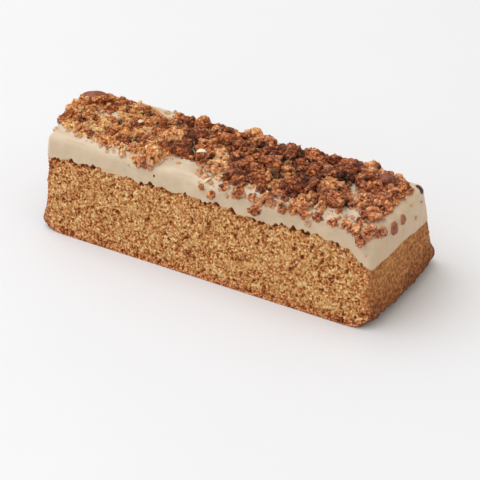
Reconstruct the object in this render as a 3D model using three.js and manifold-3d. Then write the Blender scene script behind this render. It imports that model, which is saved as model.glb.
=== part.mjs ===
// A stick-shaped sponge cake: a bar with two open, cut long faces and two baked ends, dipped
// in a cream-coloured coat and strewn with crumble while the coat was wet.
// Millimetres. X runs along the bar, the better-seen cut face looks to -Y, +Z is up, and the
// origin is the middle of the flat base.

import * as THREE from 'three';
import { mergeVertices } from 'three/addons/utils/BufferGeometryUtils.js';
import Module from 'manifold-3d';

const wasm = await Module();
wasm.setup();

// The sponge bar
const BAR_LENGTH = 115;
const BASE_WIDTH = 44.8;
const FRONT_LEAN = 0.13; // how far each face leans in for a millimetre of height
const BACK_LEAN = 0.33;
const LEFT_FOOT = 4.1; // radius of the rounded foot at each end
const RIGHT_FOOT = 5.2;
const END_DRAW = 1.5; // how far the end walls draw in above the foot
const END_DRAW_RISE = 3.5;
const LEFT_CROWN = 0.8; // how far the corners stand back from the middle of an end
const RIGHT_CROWN = 1.6;
const CORNER_AT_BASE = 3.5;
const CORNER_AT_TOP = 1.5;
const CORNER_RISE = 14;
const WOBBLE = 0.28; // unevenness of the two cut faces
const WOBBLE_RISE = 6;

// The dipped coat
const COAT_HEIGHT = 31.5;
const COAT_SIDE = 1.8;
const COAT_TOP = 2.5;
const COAT_PROUD = 0.3;
const COAT_ROUND = 2.4;
const GAP = 0.3;

// The lower edge of the coat
const EDGE_LEVEL = 24.9;
const RIGHT_DIP = 5.3;
const RIGHT_DIP_FROM = 41;
const RIGHT_DIP_TO = 56.5;
const BACK_DIP = 1.4;
const LEFT_DIP = 1.3;
const LEFT_DIP_FROM = 36;
const EDGE_RIPPLE = 0.28;

// The crumble
const SEED = 41;
const BIG_CRUMBS = 32;
const MIDDLE_CRUMBS = 130;
const SMALL_CRUMBS = 90;
const BIG_SIZE = [5, 6.4];
const MIDDLE_SIZE = [3.5, 4.8];
const SMALL_SIZE = [2.4, 3.2];
const BIG_FROM = -24; // the crumble is finer to the left of this x
const CRUMB_FLATNESS = 0.8; // height of a crumb against its width
const CRUMB_ROUGHNESS = 0.24; // how far its corners lie off a round ball
const CRUMB_SINK = 0.65; // part of its half height that is sunk in the coat
const SPOT_DRAWS = 14; // spots tried for each crumb
const BED_HEIGHT = 1.3; // fine crumble between the crumbs, above the coat
const BED_DEPTH = 1.5; // and how far it reaches down into the coat
const BED_SLOPE = 1.2; // how far its top stands in from its foot
const NUT = { x: -53.1, y: 4.4, lift: 1.8, size: [8.4, 5, 3.8], turn: 0.5 };

// Where the crumble ends along the front and along the back
const FRONT_LINE = [[-56.4, -11.6], [-51, -15.2], [-37, -17.2], [-24, -16.4], [-18.4, -15.4], [-15.6, -11.6],
  [-4, -12.2], [0, -16.8], [12, -17.6], [30, -17.8], [50, -17.7], [54.6, -15.6]];
const BACK_LINE = [[-56.4, 3.4], [-50, 9], [-14, 9.8], [2, 11], [40, 11], [48, 9.6], [54.6, 4.4]];

// Crumbs that stand out and keep their place: x, y, size
const STANDING_CRUMBS = [[-20.4, -14.6, 6.2], [-7.2, 4.8, 6], [-5, 0.6, 4.6], [-6.2, -8.8, 6.4], [3.6, -6.2, 7.2],
  [13, -2.4, 7], [15.4, -9.2, 5.2], [28.6, -6.6, 5.6], [33.6, 1.6, 6], [45.6, 6.2, 4.8], [51.6, 0.2, 5],
  [50.6, -12.6, 5.8], [30.6, -15.6, 5.4], [-54.84, -2.6, 5.2], [54.9, 7.2, 3.2]];

// Places where the coat shows through the crumble: x, y and half width
const BARE_PLACES = [[-30.5, 9.4, 2.6], [-43.8, -1.2, 1.8], [42.2, -3.4, 2.6], [48.6, -0.8, 1.8],
  [45.2, -14.6, 2.2], [13.4, -15.2, 1.6], [40, -16.6, 1.4], [-3.6, -15, 2.4]];

// Crumbs that slid over the front rim (x, height, size) and over the right one (y, height, size)
const FRONT_STRAYS = [[-23, 31.4, 4.6], [-1.2, 29.6, 2.6], [2.6, 28.5, 3.4], [6, 31.4, 3], [10.6, 31, 4.4],
  [15.2, 30.8, 3], [17.6, 28, 4.2], [20.4, 31.2, 3.6], [25.4, 30.4, 3.8], [28.8, 31, 3.4], [32.5, 30.8, 3.4],
  [36.8, 30.9, 3.6], [41.8, 30.8, 3.2], [46, 31, 3.2], [49.2, 30.8, 3.8], [51.2, 28.8, 4.8], [53.4, 30.8, 4.4]];
const END_STRAYS = [[-10.2, 28.9, 3.2], [-5.2, 29.3, 2.6], [-15.8, 30.4, 3.6]];

// Facets
const LONG_STEPS = 42;
const END_STEPS = 12;
const CORNER_STEPS = 3;
const FOOT_STEPS = 3;
const WALL_LEVELS = [9, 14];
const RIM_STEPS = 3;
const BARE_SIDES = 9;
const SLIVER = 0.04; // facets thinner than this are merged into their neighbours

const HALF_LENGTH = BAR_LENGTH / 2;
const HALF_WIDTH = BASE_WIDTH / 2;
const { lerp, smoothstep, clamp } = THREE.MathUtils;

// How far an end wall stands in from its widest point: round foot below, then a slow draw
function endInset(z, foot) {
  if (z < foot) return foot - Math.sqrt(foot * foot - (foot - z) ** 2);
  return END_DRAW * (1 - Math.exp((foot - z) / END_DRAW_RISE));
}

// The bar's four sides and its corner radius at one height, moved outwards by grow
function section(z, grow) {
  const corner = lerp(CORNER_AT_BASE, CORNER_AT_TOP, clamp(z / CORNER_RISE, 0, 1));
  return {
    left: -HALF_LENGTH + endInset(z, LEFT_FOOT) - grow,
    right: HALF_LENGTH - endInset(z, RIGHT_FOOT) + grow,
    front: -HALF_WIDTH + FRONT_LEAN * z - grow,
    back: HALF_WIDTH - BACK_LEAN * z + grow,
    corner: Math.max(corner + grow, 0.5),
  };
}

// Stations round the outline, anticlockwise from above: a corner has a turn, a side does not
function outlineStations() {
  const stations = [];
  const corners = [[1, 1], [-1, 1], [-1, -1], [1, -1]];
  corners.forEach(([sx, sy], index) => {
    for (let step = 0; step <= CORNER_STEPS; step += 1) {
      const turn = (index + step / CORNER_STEPS) * Math.PI / 2;
      stations.push({ sx, sy, turn, along: 0 });
    }
    const [nextX, nextY] = corners[(index + 1) % 4];
    const steps = nextX === sx ? END_STEPS : LONG_STEPS;
    for (let step = 1; step < steps; step += 1) {
      const turn = (index + 1) * Math.PI / 2;
      stations.push({ sx, sy, nextX, nextY, turn, along: step / steps });
    }
  });
  return stations;
}

// Corner centre of a section on the side that sx and sy name
function cornerCentre(sides, sx, sy) {
  return [
    sx > 0 ? sides.right - sides.corner : sides.left + sides.corner,
    sy > 0 ? sides.back - sides.corner : sides.front + sides.corner,
  ];
}

// The point of one station at height z, grown outwards, with the ends crowned
function wallPoint(station, z, grow) {
  const sides = section(z, grow);
  let [x, y] = cornerCentre(sides, station.sx, station.sy);
  if (station.along > 0) {
    const [toX, toY] = cornerCentre(sides, station.nextX, station.nextY);
    x = lerp(x, toX, station.along);
    y = lerp(y, toY, station.along);
  }
  x += sides.corner * Math.cos(station.turn);
  y += sides.corner * Math.sin(station.turn);
  const middle = (sides.front + sides.back) / 2;
  const across = (y - middle) / (sides.back - middle);
  const crown = x > 0 ? RIGHT_CROWN : LEFT_CROWN;
  x *= 1 - crown * across * across / HALF_LENGTH;
  if (grow >= 0) y += Math.sign(across) * wobble(x, z) * across * across;
  return new THREE.Vector3(x, y, z);
}

// Soft hollows and swells of a cut face, fading out at the base
function wobble(x, z) {
  const wave = Math.sin(x / 6.4 + z / 5) + Math.sin(x / 3.1 - z / 4.2 + 1.3);
  return WOBBLE / 2 * wave * clamp(z / WOBBLE_RISE, 0, 1);
}

// Height of the coat's lower edge at one station
function edgeHeight(station) {
  const { x, y } = wallPoint(station, EDGE_LEVEL, 0);
  const toRight = smoothstep(x, RIGHT_DIP_FROM, RIGHT_DIP_TO);
  const toLeft = smoothstep(-x, LEFT_DIP_FROM, HALF_LENGTH);
  const toBack = smoothstep(y, -4, 13);
  const ripple = EDGE_RIPPLE * (Math.sin((x - y) / 1.7) + Math.sin((x + y) / 0.9 + 1));
  return EDGE_LEVEL - (RIGHT_DIP + BACK_DIP * toBack) * toRight - LEFT_DIP * toLeft + ripple;
}

const STATIONS = outlineStations();
const ring = (heightAt, grow) => STATIONS.map((station) => wallPoint(station, heightAt(station), grow));
const levelRing = (z, grow) => ring(() => z, grow);

// A closed skin through rings of equal length: the first ring is capped facing down, the last
// facing up, and the rings between trace the section from one cap to the other
function loft(rings) {
  const count = rings[0].length;
  const points = rings.flat();
  const faces = [];
  rings.slice(1).forEach((unused, level) => {
    for (let k = 0; k < count; k += 1) {
      const a = level * count + k;
      const b = level * count + (k + 1) % count;
      faces.push(a, b, b + count, a, b + count, a + count);
    }
  });
  const cap = (ringIndex, facesUp) => {
    const flat = rings[ringIndex].map((point) => new THREE.Vector2(point.x, point.y));
    THREE.ShapeUtils.triangulateShape(flat, []).forEach((triangle) => {
      const corners = triangle.map((k) => ringIndex * count + k);
      faces.push(...(facesUp ? corners : corners.reverse()));
    });
  };
  cap(0, false);
  cap(rings.length - 1, true);
  const geometry = new THREE.BufferGeometry();
  geometry.setAttribute('position', new THREE.Float32BufferAttribute(points.flatMap((p) => p.toArray()), 3));
  geometry.setIndex(faces);
  return geometry;
}

// The sponge: rounded foot, leaning faces, a step under the coat's edge and a core inside it
function spongeGeometry() {
  const rings = [];
  const foot = Math.max(LEFT_FOOT, RIGHT_FOOT);
  for (let step = 0; step < FOOT_STEPS; step += 1) {
    rings.push(levelRing(foot * (1 - Math.cos(step / FOOT_STEPS * Math.PI / 2)), 0));
  }
  [LEFT_FOOT, RIGHT_FOOT, ...WALL_LEVELS].forEach((z) => rings.push(levelRing(z, 0)));
  const inside = -COAT_SIDE - GAP;
  rings.push(ring(edgeHeight, 0));
  rings.push(ring(edgeHeight, inside));
  rings.push(levelRing(COAT_HEIGHT - COAT_TOP - GAP, inside));
  return loft(rings);
}

// The coat alone: a cap with a wavy lower edge and a rounded rim
function coatGeometry() {
  const low = (station) => edgeHeight(station) + GAP;
  const shoulder = COAT_HEIGHT - COAT_ROUND;
  const rings = [
    levelRing(COAT_HEIGHT - COAT_TOP, -COAT_SIDE),
    ring(low, -COAT_SIDE),
    ring(low, COAT_PROUD),
    ring((station) => (low(station) + shoulder) / 2, COAT_PROUD),
  ];
  for (let step = 0; step <= RIM_STEPS; step += 1) {
    const turn = step / RIM_STEPS * Math.PI / 2;
    const z = shoulder + COAT_ROUND * Math.sin(turn);
    rings.push(levelRing(z, COAT_PROUD - COAT_ROUND * (1 - Math.cos(turn))));
  }
  return loft(rings);
}

// Repeatable random numbers from 0 to 1
let randomState = SEED;
function random() {
  randomState = (randomState * 16807) % 2147483647;
  return randomState / 2147483647;
}

// One crumb: a faceted ball with its corners pushed in and out, turned and flattened
function crumbGeometry(place, size) {
  const geometry = new THREE.IcosahedronGeometry(1, 0);
  geometry.deleteAttribute('normal');
  geometry.deleteAttribute('uv');
  const crumb = mergeVertices(geometry);
  const corners = crumb.getAttribute('position');
  const turn = new THREE.Euler(random() * 6, random() * 6, random() * 6);
  const stretch = new THREE.Vector3(0.9 + 0.3 * random(), 0.8 + 0.3 * random(), CRUMB_FLATNESS);
  const corner = new THREE.Vector3();
  for (let k = 0; k < corners.count; k += 1) {
    corner.fromBufferAttribute(corners, k).multiplyScalar(1 + CRUMB_ROUGHNESS * (2 * random() - 1));
    corner.applyEuler(turn).multiply(stretch).multiplyScalar(size / 2).add(place);
    corners.setXYZ(k, corner.x, corner.y, corner.z);
  }
  return crumb;
}

// The y of a line of points at x
function lineAt(line, x) {
  const next = line.findIndex(([to]) => to >= x);
  const [[fromX, fromY], [toX, toY]] = [line[next - 1], line[next]];
  return lerp(fromY, toY, (x - fromX) / (toX - fromX));
}

function isBare(x, y, size) {
  if (y < lineAt(FRONT_LINE, x) + size / 3 || y > lineAt(BACK_LINE, x) - size / 3) return true;
  return BARE_PLACES.some(([bareX, bareY, reach]) => Math.hypot(x - bareX, y - bareY) < reach + size / 3);
}

// Free room round a spot: the distance to the nearest crumb's side, for a crumb of this size
function freeRoom(spot, size, placed) {
  return Math.min(...placed.map((crumb) => (
    Math.hypot(spot[0] - crumb.x, spot[1] - crumb.y) - (crumb.size + size) / 2)));
}

// Of a few drawn spots off the bare places, the one with the most free room
function roomiestSpot(size, placed, leftmost) {
  const inset = size / 3;
  const spots = [];
  while (spots.length < SPOT_DRAWS) {
    const x = lerp(leftmost + inset, FRONT_LINE.at(-1)[0] - inset, random());
    const y = lerp(-HALF_WIDTH, HALF_WIDTH, random());
    if (!isBare(x, y, size)) spots.push([x, y]);
  }
  const room = spots.map((spot) => freeRoom(spot, size, placed));
  return spots[room.indexOf(Math.max(...room))];
}

// Crumbs spread over the top, the largest first
function strewnCrumbs() {
  const placed = STANDING_CRUMBS.map(([x, y, size]) => ({ x, y, size }));
  const leftmost = FRONT_LINE[0][0];
  const kinds = [[BIG_CRUMBS, BIG_SIZE, BIG_FROM], [MIDDLE_CRUMBS, MIDDLE_SIZE, leftmost],
    [SMALL_CRUMBS, SMALL_SIZE, leftmost]];
  kinds.forEach(([count, range, from]) => {
    for (let made = 0; made < count; made += 1) {
      const size = lerp(range[0], range[1], random());
      const [x, y] = roomiestSpot(size, placed, from);
      placed.push({ x, y, size });
    }
  });
  return placed.map(({ x, y, size }) => {
    const lift = CRUMB_FLATNESS * size / 2 * (1 - CRUMB_SINK);
    return crumbGeometry(new THREE.Vector3(x, y, COAT_HEIGHT + lift), size);
  });
}

// The bed of fine crumble: a low slab with sloping sides, holed where the coat shows through
function bedSolid() {
  const outline = [...FRONT_LINE, ...BACK_LINE.toReversed()];
  const middleX = (FRONT_LINE[0][0] + FRONT_LINE.at(-1)[0]) / 2;
  const inwards = ([x, y]) => [x - Math.sign(x - middleX) * BED_SLOPE, y - Math.sign(y) * BED_SLOPE];
  const flat = (points, z) => points.map(([x, y]) => new THREE.Vector3(x, y, z));
  const slab = toSolid(loft([
    flat(outline, COAT_HEIGHT - BED_DEPTH),
    flat(outline, COAT_HEIGHT),
    flat(outline.map(inwards), COAT_HEIGHT + BED_HEIGHT),
  ]));
  return BARE_PLACES.reduce((bed, [x, y, reach]) => {
    const hole = wasm.Manifold.cylinder(BED_DEPTH + BED_HEIGHT + 1, reach, reach, BARE_SIDES);
    return bed.subtract(hole.translate([x, y, COAT_HEIGHT - BED_DEPTH - 0.5]));
  }, slab);
}

// Crumbs stuck to the coat's front and right walls, sunk as deep as the ones on top
function strayCrumbs() {
  const out = (size) => size / 2 * (1 - CRUMB_SINK) + COAT_PROUD;
  const front = FRONT_STRAYS.map(([x, z, size]) => {
    const rimmed = Math.max(z - (COAT_HEIGHT - COAT_ROUND), 0) / 2;
    return crumbGeometry(new THREE.Vector3(x, section(z, out(size)).front + rimmed, z), size);
  });
  const end = END_STRAYS.map(([y, z, size]) => {
    const middle = (section(z, 0).front + section(z, 0).back) / 2;
    const stand = RIGHT_CROWN * ((y - middle) / (section(z, 0).back - middle)) ** 2;
    return crumbGeometry(new THREE.Vector3(section(z, out(size)).right - stand, y, z), size);
  });
  return [...front, ...end];
}

// A smooth nut kernel lying on the crumble
function nutGeometry() {
  const ball = new THREE.IcosahedronGeometry(1, 1);
  ball.deleteAttribute('normal');
  ball.deleteAttribute('uv');
  ball.scale(...NUT.size.map((width) => width / 2));
  ball.rotateZ(NUT.turn);
  ball.translate(NUT.x, NUT.y, COAT_HEIGHT + NUT.lift);
  return mergeVertices(ball);
}

function toSolid(geometry) {
  const vertProperties = new Float32Array(geometry.getAttribute('position').array);
  const triVerts = new Uint32Array(geometry.getIndex().array);
  return new wasm.Manifold(new wasm.Mesh({ numProp: 3, vertProperties, triVerts }));
}

function toGeometry(solid) {
  const mesh = solid.getMesh();
  const geometry = new THREE.BufferGeometry();
  geometry.setAttribute('position', new THREE.Float32BufferAttribute(mesh.vertProperties, 3));
  geometry.setIndex([...mesh.triVerts]);
  return geometry;
}

// The outermost skin of a solid, which fills the pockets sealed between crumbs
function outerSkin(solid) {
  return solid.decompose().reduce((most, piece) => (piece.volume() > most.volume() ? piece : most));
}

// The coat with every crumb joined to it
function coatedTopGeometry() {
  const crumbs = [...strewnCrumbs(), ...strayCrumbs(), nutGeometry()];
  const bedded = toSolid(coatGeometry()).add(bedSolid());
  const joined = crumbs.reduce((solid, crumb) => solid.add(toSolid(crumb)), bedded);
  return toGeometry(outerSkin(joined.simplify(SLIVER)));
}

const spongeFinish = new THREE.MeshStandardMaterial({ color: 0xb9844c, roughness: 0.95, metalness: 0 });
const coatFinish = new THREE.MeshStandardMaterial({ color: 0xcbb48e, roughness: 0.55, metalness: 0 });

function namedMesh(name, geometry, finish) {
  geometry.computeVertexNormals();
  const mesh = new THREE.Mesh(geometry, finish);
  mesh.name = name;
  return mesh;
}

const cakeBar = new THREE.Group();
cakeBar.add(namedMesh('cake', spongeGeometry(), spongeFinish));
cakeBar.add(namedMesh('icing', coatedTopGeometry(), coatFinish));

// The origin is the middle of the whole bar, overhanging crumbs included
const middle = new THREE.Box3().setFromObject(cakeBar).getCenter(new THREE.Vector3());
cakeBar.position.set(-middle.x, -middle.y, 0);

export default cakeBar;
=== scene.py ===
# %% [markdown]
# # A bar of coated cake with a crumble top
# This lesson dresses a imported model of a small cake: a bar of sponge, dipped upside down in a
# beige sugar coat and strewn with baked crumble while the coat was wet. The imported model holds
# the sizes. The lesson makes what the eye enjoys: open crumb, a ragged coat edge, clumps and
# grains of crumble, and their finishes. The model is loaded first, and the sponge's box gives the
# bar's sizes.

# %% The imported model
import bmesh
import bpy
import math
import numpy as np
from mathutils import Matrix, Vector, noise


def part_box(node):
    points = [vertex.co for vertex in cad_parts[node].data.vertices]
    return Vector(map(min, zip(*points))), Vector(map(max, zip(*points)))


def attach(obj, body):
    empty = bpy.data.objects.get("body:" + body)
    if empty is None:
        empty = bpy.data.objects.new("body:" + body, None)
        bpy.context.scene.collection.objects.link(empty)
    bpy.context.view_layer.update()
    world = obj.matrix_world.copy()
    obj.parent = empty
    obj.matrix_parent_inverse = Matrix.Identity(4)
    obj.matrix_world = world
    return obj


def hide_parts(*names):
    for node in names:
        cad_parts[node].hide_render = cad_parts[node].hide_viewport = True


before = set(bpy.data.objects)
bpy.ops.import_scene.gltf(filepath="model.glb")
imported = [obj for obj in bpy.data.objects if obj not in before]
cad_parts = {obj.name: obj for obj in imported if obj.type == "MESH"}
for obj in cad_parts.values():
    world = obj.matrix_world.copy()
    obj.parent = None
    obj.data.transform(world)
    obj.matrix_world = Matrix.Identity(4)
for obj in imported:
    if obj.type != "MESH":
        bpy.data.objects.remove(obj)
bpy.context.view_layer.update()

MM = 0.001
print("packed nodes:", sorted(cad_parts))

# %% [markdown]
# ## The bar's sizes
# Blender works in metres, but a cake is easier to think about in millimetres, so every size is
# written in millimetres and turned into metres when a mesh is filled. Length and width are read
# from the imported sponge. How the walls lean, how round the feet are and where the coat ends are
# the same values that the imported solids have, so a piece made here covers its solid closely.

# %% Sizes of the sponge and the coat
sponge_low, sponge_high = [np.array(corner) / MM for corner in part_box("cake")]
BAR_LENGTH, BASE_WIDTH, SPONGE_TOP = sponge_high - sponge_low
BAR_MIDDLE = (sponge_low[0] + sponge_high[0]) / 2
FRONT_LEAN = 0.13
BACK_LEAN = 0.33
LEFT_FOOT = 4.1
RIGHT_FOOT = 5.2
END_DRAW = 1.5
END_DRAW_RISE = 3.5
LEFT_CROWN = 0.8
RIGHT_CROWN = 1.6
CORNER_AT_BASE = 3.5
CORNER_AT_TOP = 1.5
CORNER_RISE = 14
SHARPEST_CORNER = 0.5
WOBBLE = 0.28
WOBBLE_RISE = 6
WOBBLE_WAVES = [(6.4, 5, 0), (3.1, -4.2, 1.3)]
WOBBLE_INWARDS_TO = -0.5

COAT_HEIGHT = 31.5
COAT_PROUD = 0.3
COAT_ROUND = 2.4
COAT_SHOULDER = COAT_HEIGHT - COAT_ROUND
EDGE_LEVEL = 24.9
RIGHT_DIP = 5.3
RIGHT_DIP_FROM = 41
RIGHT_DIP_TO = 56.5
BACK_DIP = 1.4
BACK_DIP_FROM = -4
BACK_DIP_TO = 13
LEFT_DIP = 1.3
LEFT_DIP_FROM = 36
EDGE_RIPPLE = 0.28
RIPPLE_AT_ENDS = 0.3
EDGE_DRIPS = [(57.0, -19.6, 2.6, 1.7), (56.8, 12.0, 4.5, 1.2), (17.0, -19.2, 7.0, 0.9),
              (56.9, -4.0, 5.0, -0.8)]
print(f"bar {BAR_LENGTH:.1f} long, {BASE_WIDTH:.1f} wide, sponge {SPONGE_TOP:.1f} high")

# %% [markdown]
# ## One outline for every height
# The bar could be a cube with moved corners, but its section changes with height: a round foot
# at each end, leaning faces, corners that sharpen upwards. So one function gives the outline at
# any height. It takes u, the share of the way round from 0 to 1, and z, and it works on whole
# arrays at once, which is what makes a mesh of a hundred thousand points quick.

# %% Outline functions
def step_between(value, low, high):
    """Smooth step from 0 at low to 1 at high."""
    share = np.clip((value - low) / (high - low), 0, 1)
    return share * share * (3 - 2 * share)


def end_inset(z, foot):
    """How far an end stands in from its widest point: round foot, then a slow draw."""
    below = foot - np.sqrt(np.clip(foot ** 2 - (foot - z) ** 2, 0, None))
    above = END_DRAW * (1 - np.exp(np.minimum(foot - z, 0) / END_DRAW_RISE))
    return np.where(z < foot, below, above)


def section(z, grow):
    """The four sides and the corner radius at height z, moved outwards by grow."""
    rise = np.clip(z / CORNER_RISE, 0, 1)
    corner = CORNER_AT_BASE + (CORNER_AT_TOP - CORNER_AT_BASE) * rise
    left = -BAR_LENGTH / 2 + end_inset(z, LEFT_FOOT) - grow
    right = BAR_LENGTH / 2 - end_inset(z, RIGHT_FOOT) + grow
    front = -BASE_WIDTH / 2 + FRONT_LEAN * z - grow
    back = BASE_WIDTH / 2 - BACK_LEAN * z + grow
    return left, right, front, back, np.maximum(corner + grow, SHARPEST_CORNER)


SIDE_X = np.array([1, 1, -1, -1])
SIDE_Y = np.array([-1, 1, 1, -1])
CORNER_RUN = CORNER_AT_TOP * math.pi / 2
# About what the corners and the lean take off the straight runs
CORNERS_TAKE = 6
LEAN_TAKES = 4
END_RUN = BASE_WIDTH - (CORNERS_TAKE + LEAN_TAKES)
LONG_RUN = BAR_LENGTH - CORNERS_TAKE
LEGS = np.array([CORNER_RUN, END_RUN, CORNER_RUN, LONG_RUN] * 2)
LEG_STARTS = np.concatenate([[0], np.cumsum(LEGS)])
ROUND_THE_BAR = LEG_STARTS[-1]


def outline(u, z, grow):
    """Points round the bar, anticlockwise from the front of the right end, in millimetres."""
    left, right, front, back, corner = section(z, grow)
    travelled = (u % 1) * ROUND_THE_BAR
    leg = np.clip(np.searchsorted(LEG_STARTS, travelled, side="right") - 1, 0, len(LEGS) - 1)
    share = (travelled - LEG_STARTS[leg]) / LEGS[leg]
    here = leg // 2
    there = (here + 1) % 4
    in_corner = leg % 2 == 0
    along = np.where(in_corner, 0, share)
    turn = (here - 1 + np.where(in_corner, share, 1)) * math.pi / 2

    def centre(index):
        x = np.where(SIDE_X[index] > 0, right - corner, left + corner)
        y = np.where(SIDE_Y[index] > 0, back - corner, front + corner)
        return x, y

    here_x, here_y = centre(here)
    there_x, there_y = centre(there)
    x = here_x + (there_x - here_x) * along + corner * np.cos(turn)
    y = here_y + (there_y - here_y) * along + corner * np.sin(turn)
    middle = (front + back) / 2
    across = (y - middle) / (back - middle)
    crown = np.where(x > 0, RIGHT_CROWN, LEFT_CROWN)
    x = x * (1 - crown * across ** 2 / (BAR_LENGTH / 2))
    wave = sum(np.sin(x / length + z / height + start) for length, height, start in WOBBLE_WAVES)
    uneven = WOBBLE / 2 * wave * np.clip(z / WOBBLE_RISE, 0, 1) * (grow > WOBBLE_INWARDS_TO)
    y = y + np.sign(across) * uneven * across ** 2
    return np.stack([x + BAR_MIDDLE, y, z + 0 * x], axis=1)


print(f"once round the bar is {ROUND_THE_BAR:.0f} mm")

# %% [markdown]
# ## Noise helpers
# Crumb, crust and crumble are all rough, each at its own scale. Blender's own noise functions
# read one point at a time, so small helpers run them over an array. One gives cells: a relief
# that is high in the middle of each cell, a value that is low in the seams, and a number for
# each cell.

# %% Noise over arrays
def noise_at(points, grain, shift=0.0):
    """Smooth noise, about -1 to 1, at points in millimetres, in lumps about one grain wide."""
    return np.array([noise.noise(Vector(point)) for point in points / grain + shift])


def layered_noise(points, layers):
    """A sum of noises, each given as its height, its grain and its shift."""
    return sum(height * noise_at(points, grain, shift) for height, grain, shift in layers)


CELL_HASH = np.array([(12.98, 39.35, 73.16), (78.23, 11.14, 52.24), (37.72, 83.16, 9.15)])
HASH_SPREAD = 43758.5
DOME_REACH = 0.8
CELL_DOME = 0.45
CELL_STEP = 0.45
CELL_TILT = 0.9


def cells_at(points, grain, shift=0.0):
    """Blocky relief in cells, the way to the nearest seam in grains, and each cell's own number."""
    scaled = points / grain + shift
    found = [noise.voronoi(Vector(point)) for point in scaled]
    nearest = np.array([distances[0] for distances, _ in found])
    second = np.array([distances[1] for distances, _ in found])
    centres = np.array([places[0][:] for _, places in found])
    numbers = np.modf(np.abs(np.sin(centres @ CELL_HASH) * HASH_SPREAD))[0]
    dome = 1 - np.clip(nearest / DOME_REACH, 0, 1) ** 2
    tilt = ((scaled - centres) * (numbers - 0.5)).sum(axis=1)
    relief = CELL_DOME * dome + CELL_STEP * numbers[:, 0] + CELL_TILT * tilt
    return relief, second - nearest, numbers[:, 1]


def warped(points, grain, reach):
    """Points pushed about, so that the cells read at them lose their straight seams."""
    pushes = [noise_at(points, grain, shift) for shift in (3.0, 17.0, 41.0)]
    return points + reach * np.stack(pushes, axis=1)


# %% [markdown]
# ## The coat's lower edge
# The coat ran down only as far as the cake was dipped. Its edge is nearly level along the cut
# faces, drops at the right-hand end, and bites upwards wherever a pore in the crumb broke it.
# Those notches are drawn once, from a seeded generator, because the sponge needs the same list:
# each notch is a dark pore in the crumb just below the coat.

# %% Edge height and its notches
EDGE_SEED = 7
NOTCH_SPACING = 2.5
NOTCH_WIDTH = (0.4, 0.9)
NOTCH_HEIGHT = (0.2, 1.1)
EDGE_RAGS = [(0.34, 1.1, 0.0), (0.2, 0.45, 9.0)]
RAGS_AT_ENDS = 0.35
edge_draw = np.random.default_rng(EDGE_SEED)
notch_count = int(ROUND_THE_BAR / NOTCH_SPACING)
notch_places = np.sort(edge_draw.uniform(0, ROUND_THE_BAR, notch_count))
notch_widths = edge_draw.uniform(*NOTCH_WIDTH, notch_count)
notch_heights = edge_draw.uniform(*NOTCH_HEIGHT, notch_count)


def on_cut_face(u, at_ends=0.0):
    """1 on the two cut long faces, and a smaller share on the baked ends."""
    travelled = (u % 1) * ROUND_THE_BAR
    on_long_side = (travelled % (ROUND_THE_BAR / 2)) > CORNER_RUN * 1.5 + END_RUN
    return np.where(on_long_side, 1.0, at_ends)


def smooth_edge(u):
    """Height of the coat's lower edge without its notches."""
    x, y, _ = outline(u, np.full_like(u, EDGE_LEVEL), 0.0).T
    x = x - BAR_MIDDLE
    to_right = step_between(x, RIGHT_DIP_FROM, RIGHT_DIP_TO)
    to_left = step_between(-x, LEFT_DIP_FROM, BAR_LENGTH / 2)
    to_back = step_between(y, BACK_DIP_FROM, BACK_DIP_TO)
    ripple = EDGE_RIPPLE * (np.sin((x - y) / 1.7) + np.sin((x + y) / 0.9 + 1))
    fall = (RIGHT_DIP + BACK_DIP * to_back) * to_right + LEFT_DIP * to_left
    for drip_x, drip_y, reach, drop in EDGE_DRIPS:
        fall = fall + drop * np.exp(-((x - drip_x) ** 2 + (y - drip_y) ** 2) / reach ** 2)
    return EDGE_LEVEL - fall + ripple * on_cut_face(u, RIPPLE_AT_ENDS)


def notch_depth(u):
    """How far the notches cut into the coat at u, in millimetres."""
    travelled = (u % 1) * ROUND_THE_BAR
    depth = np.zeros_like(travelled)
    for place, width, height in zip(notch_places, notch_widths, notch_heights):
        depth = np.maximum(depth, height * np.exp(-((travelled - place) / width) ** 2))
    return depth * on_cut_face(u)


def ragged_edge(u):
    """Height of the coat's lower edge, notches and fine raggedness included."""
    travelled = (u % 1) * ROUND_THE_BAR
    path = np.stack([travelled, 0 * travelled, 0 * travelled], axis=1)
    ragged = layered_noise(path, EDGE_RAGS) * on_cut_face(u, RAGS_AT_ENDS)
    return smooth_edge(u) + notch_depth(u) + ragged


print(notch_count, "notches round the edge")

# %% [markdown]
# ## Rolling a grid into a band
# The sponge and the coat are both skins that run all the way round. Each starts as a flat grid
# from one operator, is rolled up so that its left and right sides meet, and is welded and capped.
# The grid keeps its even squares, which suits the fine relief that follows. The relief moves each
# point along its own normal, and what it did is kept as an attribute for the finish to read.

# %% Band and relief helpers
WELD_DISTANCE = 0.004
PATH_STEPS = 2400
PATH_BLOCK = 4000


def add_object(name, data):
    """A new object in the scene, at the origin."""
    thing = bpy.data.objects.new(name, data)
    bpy.context.scene.collection.objects.link(thing)
    return thing


def unit_grid(x_squares, y_squares):
    """A flat grid, and its points from 0 to 1 both ways."""
    bm = bmesh.new()
    bmesh.ops.create_grid(bm, x_segments=x_squares, y_segments=y_squares, size=0.5)
    return bm, np.array([vert.co[:2] for vert in bm.verts]) + 0.5


def finished_object(name, bm):
    """A smooth object from a bmesh, which is freed."""
    mesh = bpy.data.meshes.new(name)
    bm.to_mesh(mesh)
    bm.free()
    mesh.shade_smooth()
    return add_object(name, mesh)


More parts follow.
